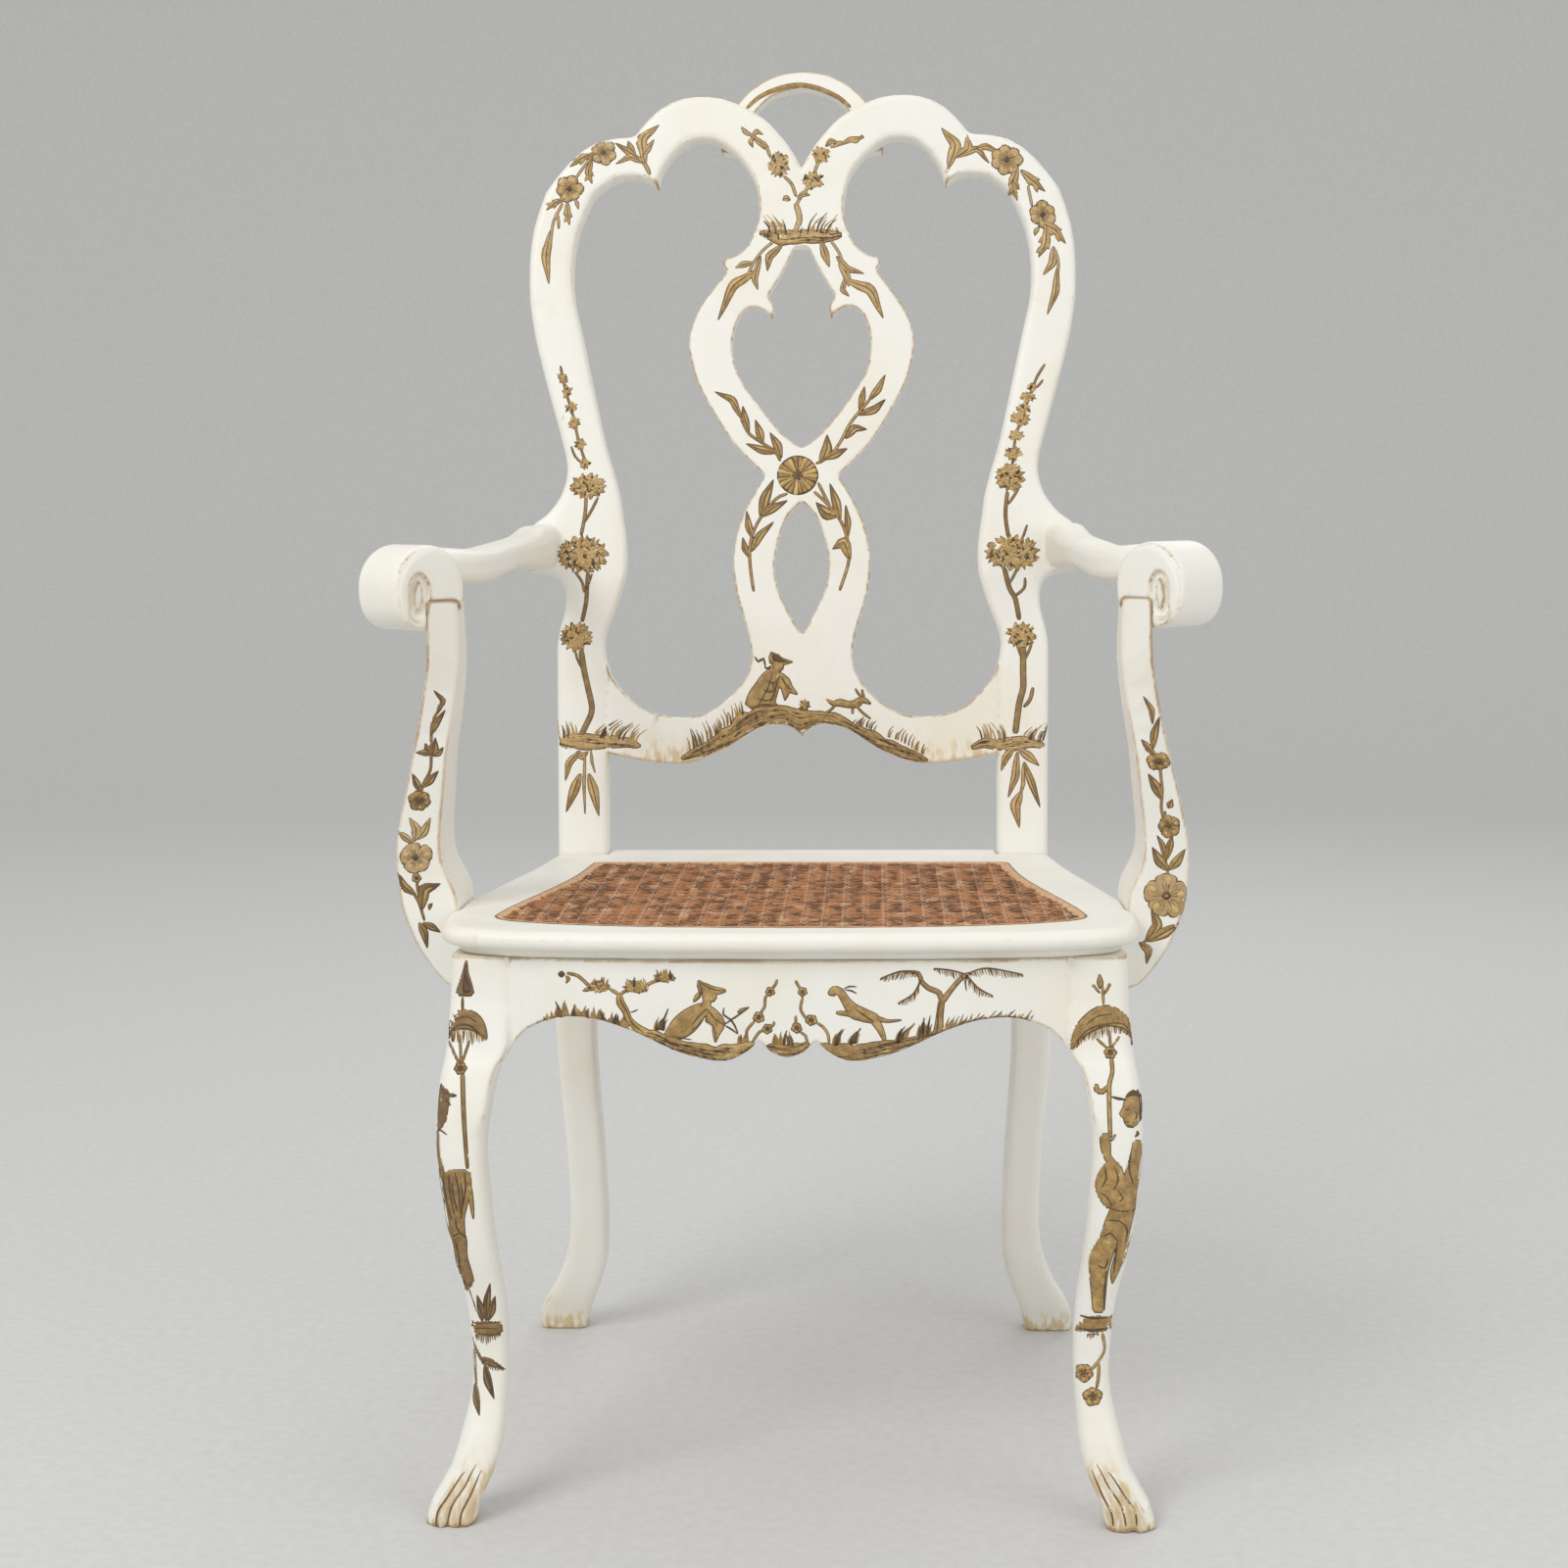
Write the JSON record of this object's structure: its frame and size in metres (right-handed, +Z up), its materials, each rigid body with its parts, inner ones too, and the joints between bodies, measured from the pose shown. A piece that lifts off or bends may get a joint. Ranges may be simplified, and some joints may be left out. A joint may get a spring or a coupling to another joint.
{
  "type": "armchair",
  "caption": "Painted open armchair with a looping crest, a carrying handle, a pierced splat, rolled arms, cabriole front legs with hoof feet and a caned seat.",
  "frame": {"origin": "centre of the footprint of the whole chair, on the floor", "axes": "+Z up, -Y towards the chair's front, +X towards the right of somebody who looks at the chair from the front"},
  "size_m": [0.6656, 0.5959, 1.1683],
  "materials": {
    "painted_wood": "aged ivory paint, satin",
    "bare_wood": "plain",
    "screw_steel": "dull",
    "cane": "natural cane, stained reddish brown",
    "cane_edge": "natural cane, dry"
  },
  "bodies": {
    "root": {"front_leg_left": "painted_wood", "front_leg_right": "painted_wood", "rear_post_left": "painted_wood", "rear_post_right": "painted_wood", "crest_rail": "painted_wood", "crest_handle": "painted_wood", "splat": "painted_wood", "stay_rail": "painted_wood", "front_apron": "painted_wood", "side_rail_left": "painted_wood", "side_rail_right": "painted_wood", "seat_rim_front": "painted_wood", "seat_rim_left": "painted_wood", "seat_rim_right": "painted_wood", "seat_rim_back": "painted_wood", "arm_left": "painted_wood", "arm_right": "painted_wood", "arm_support_left": "painted_wood", "arm_support_right": "painted_wood", "back_seat_rail": "bare_wood", "front_corner_blocks": "bare_wood", "rear_corner_blocks": "bare_wood", "arm_dowels": "bare_wood", "rim_screws": "screw_steel", "arm_screws": "screw_steel", "support_screws": "screw_steel", "handle_screws": "screw_steel", "cane_panel": "cane", "cane_binding": "cane_edge"}
  },
  "joints": []
}
